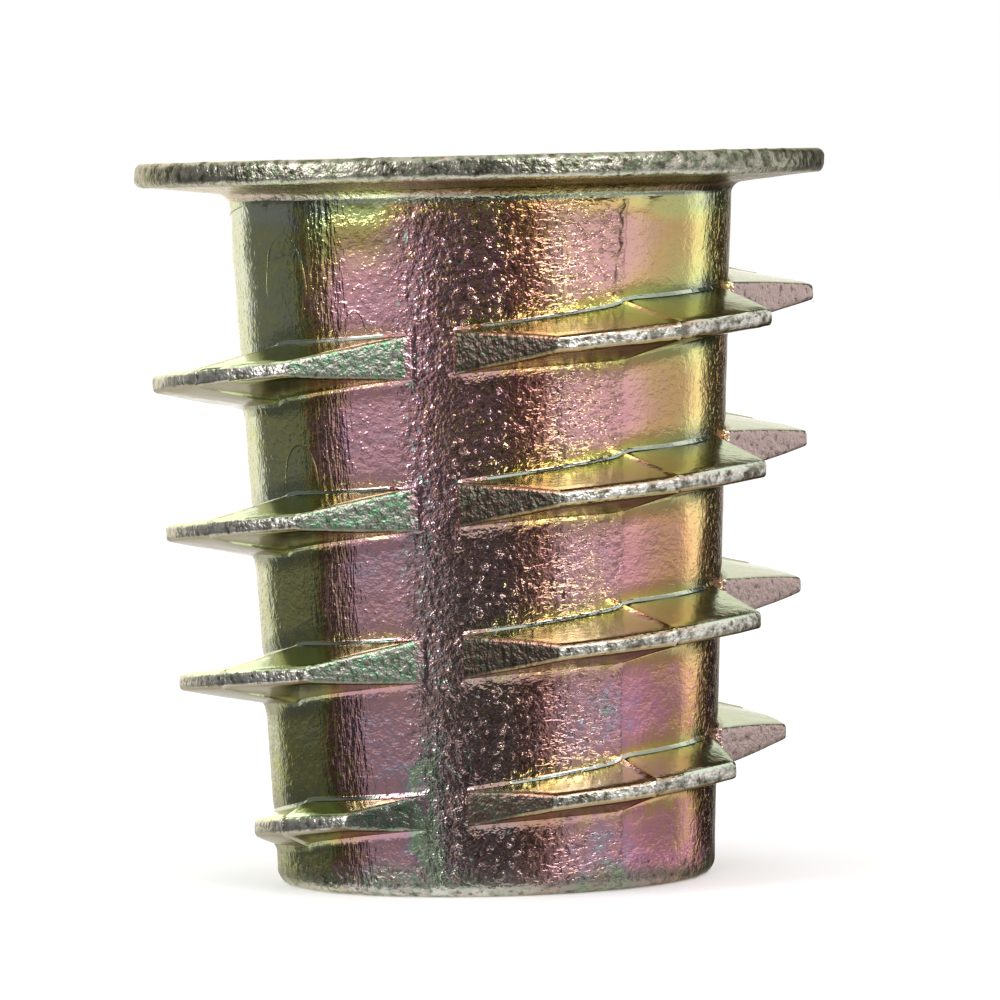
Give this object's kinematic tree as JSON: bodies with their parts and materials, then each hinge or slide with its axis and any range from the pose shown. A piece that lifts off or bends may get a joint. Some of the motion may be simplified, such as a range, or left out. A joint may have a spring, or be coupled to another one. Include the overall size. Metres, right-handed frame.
{
  "type": "threaded insert",
  "caption": "Die-cast screw-in wood insert with a flange, a notched knife thread outside, a hexagon socket and a threaded bolt hole.",
  "frame": {"origin": "on the axis, in the plane of the narrow end, on which the insert stands", "axes": "+Z along the axis towards the flange; the notches of the thread face -Y, +X, +Y and -X; two flats of the socket face +Y and -Y"},
  "size_m": [0.019, 0.019, 0.02],
  "materials": {
    "casting": "cast zinc with an iridescent yellow chromate, satin with rough cast patches"
  },
  "bodies": {
    "root": {"insert": "casting"}
  },
  "joints": []
}
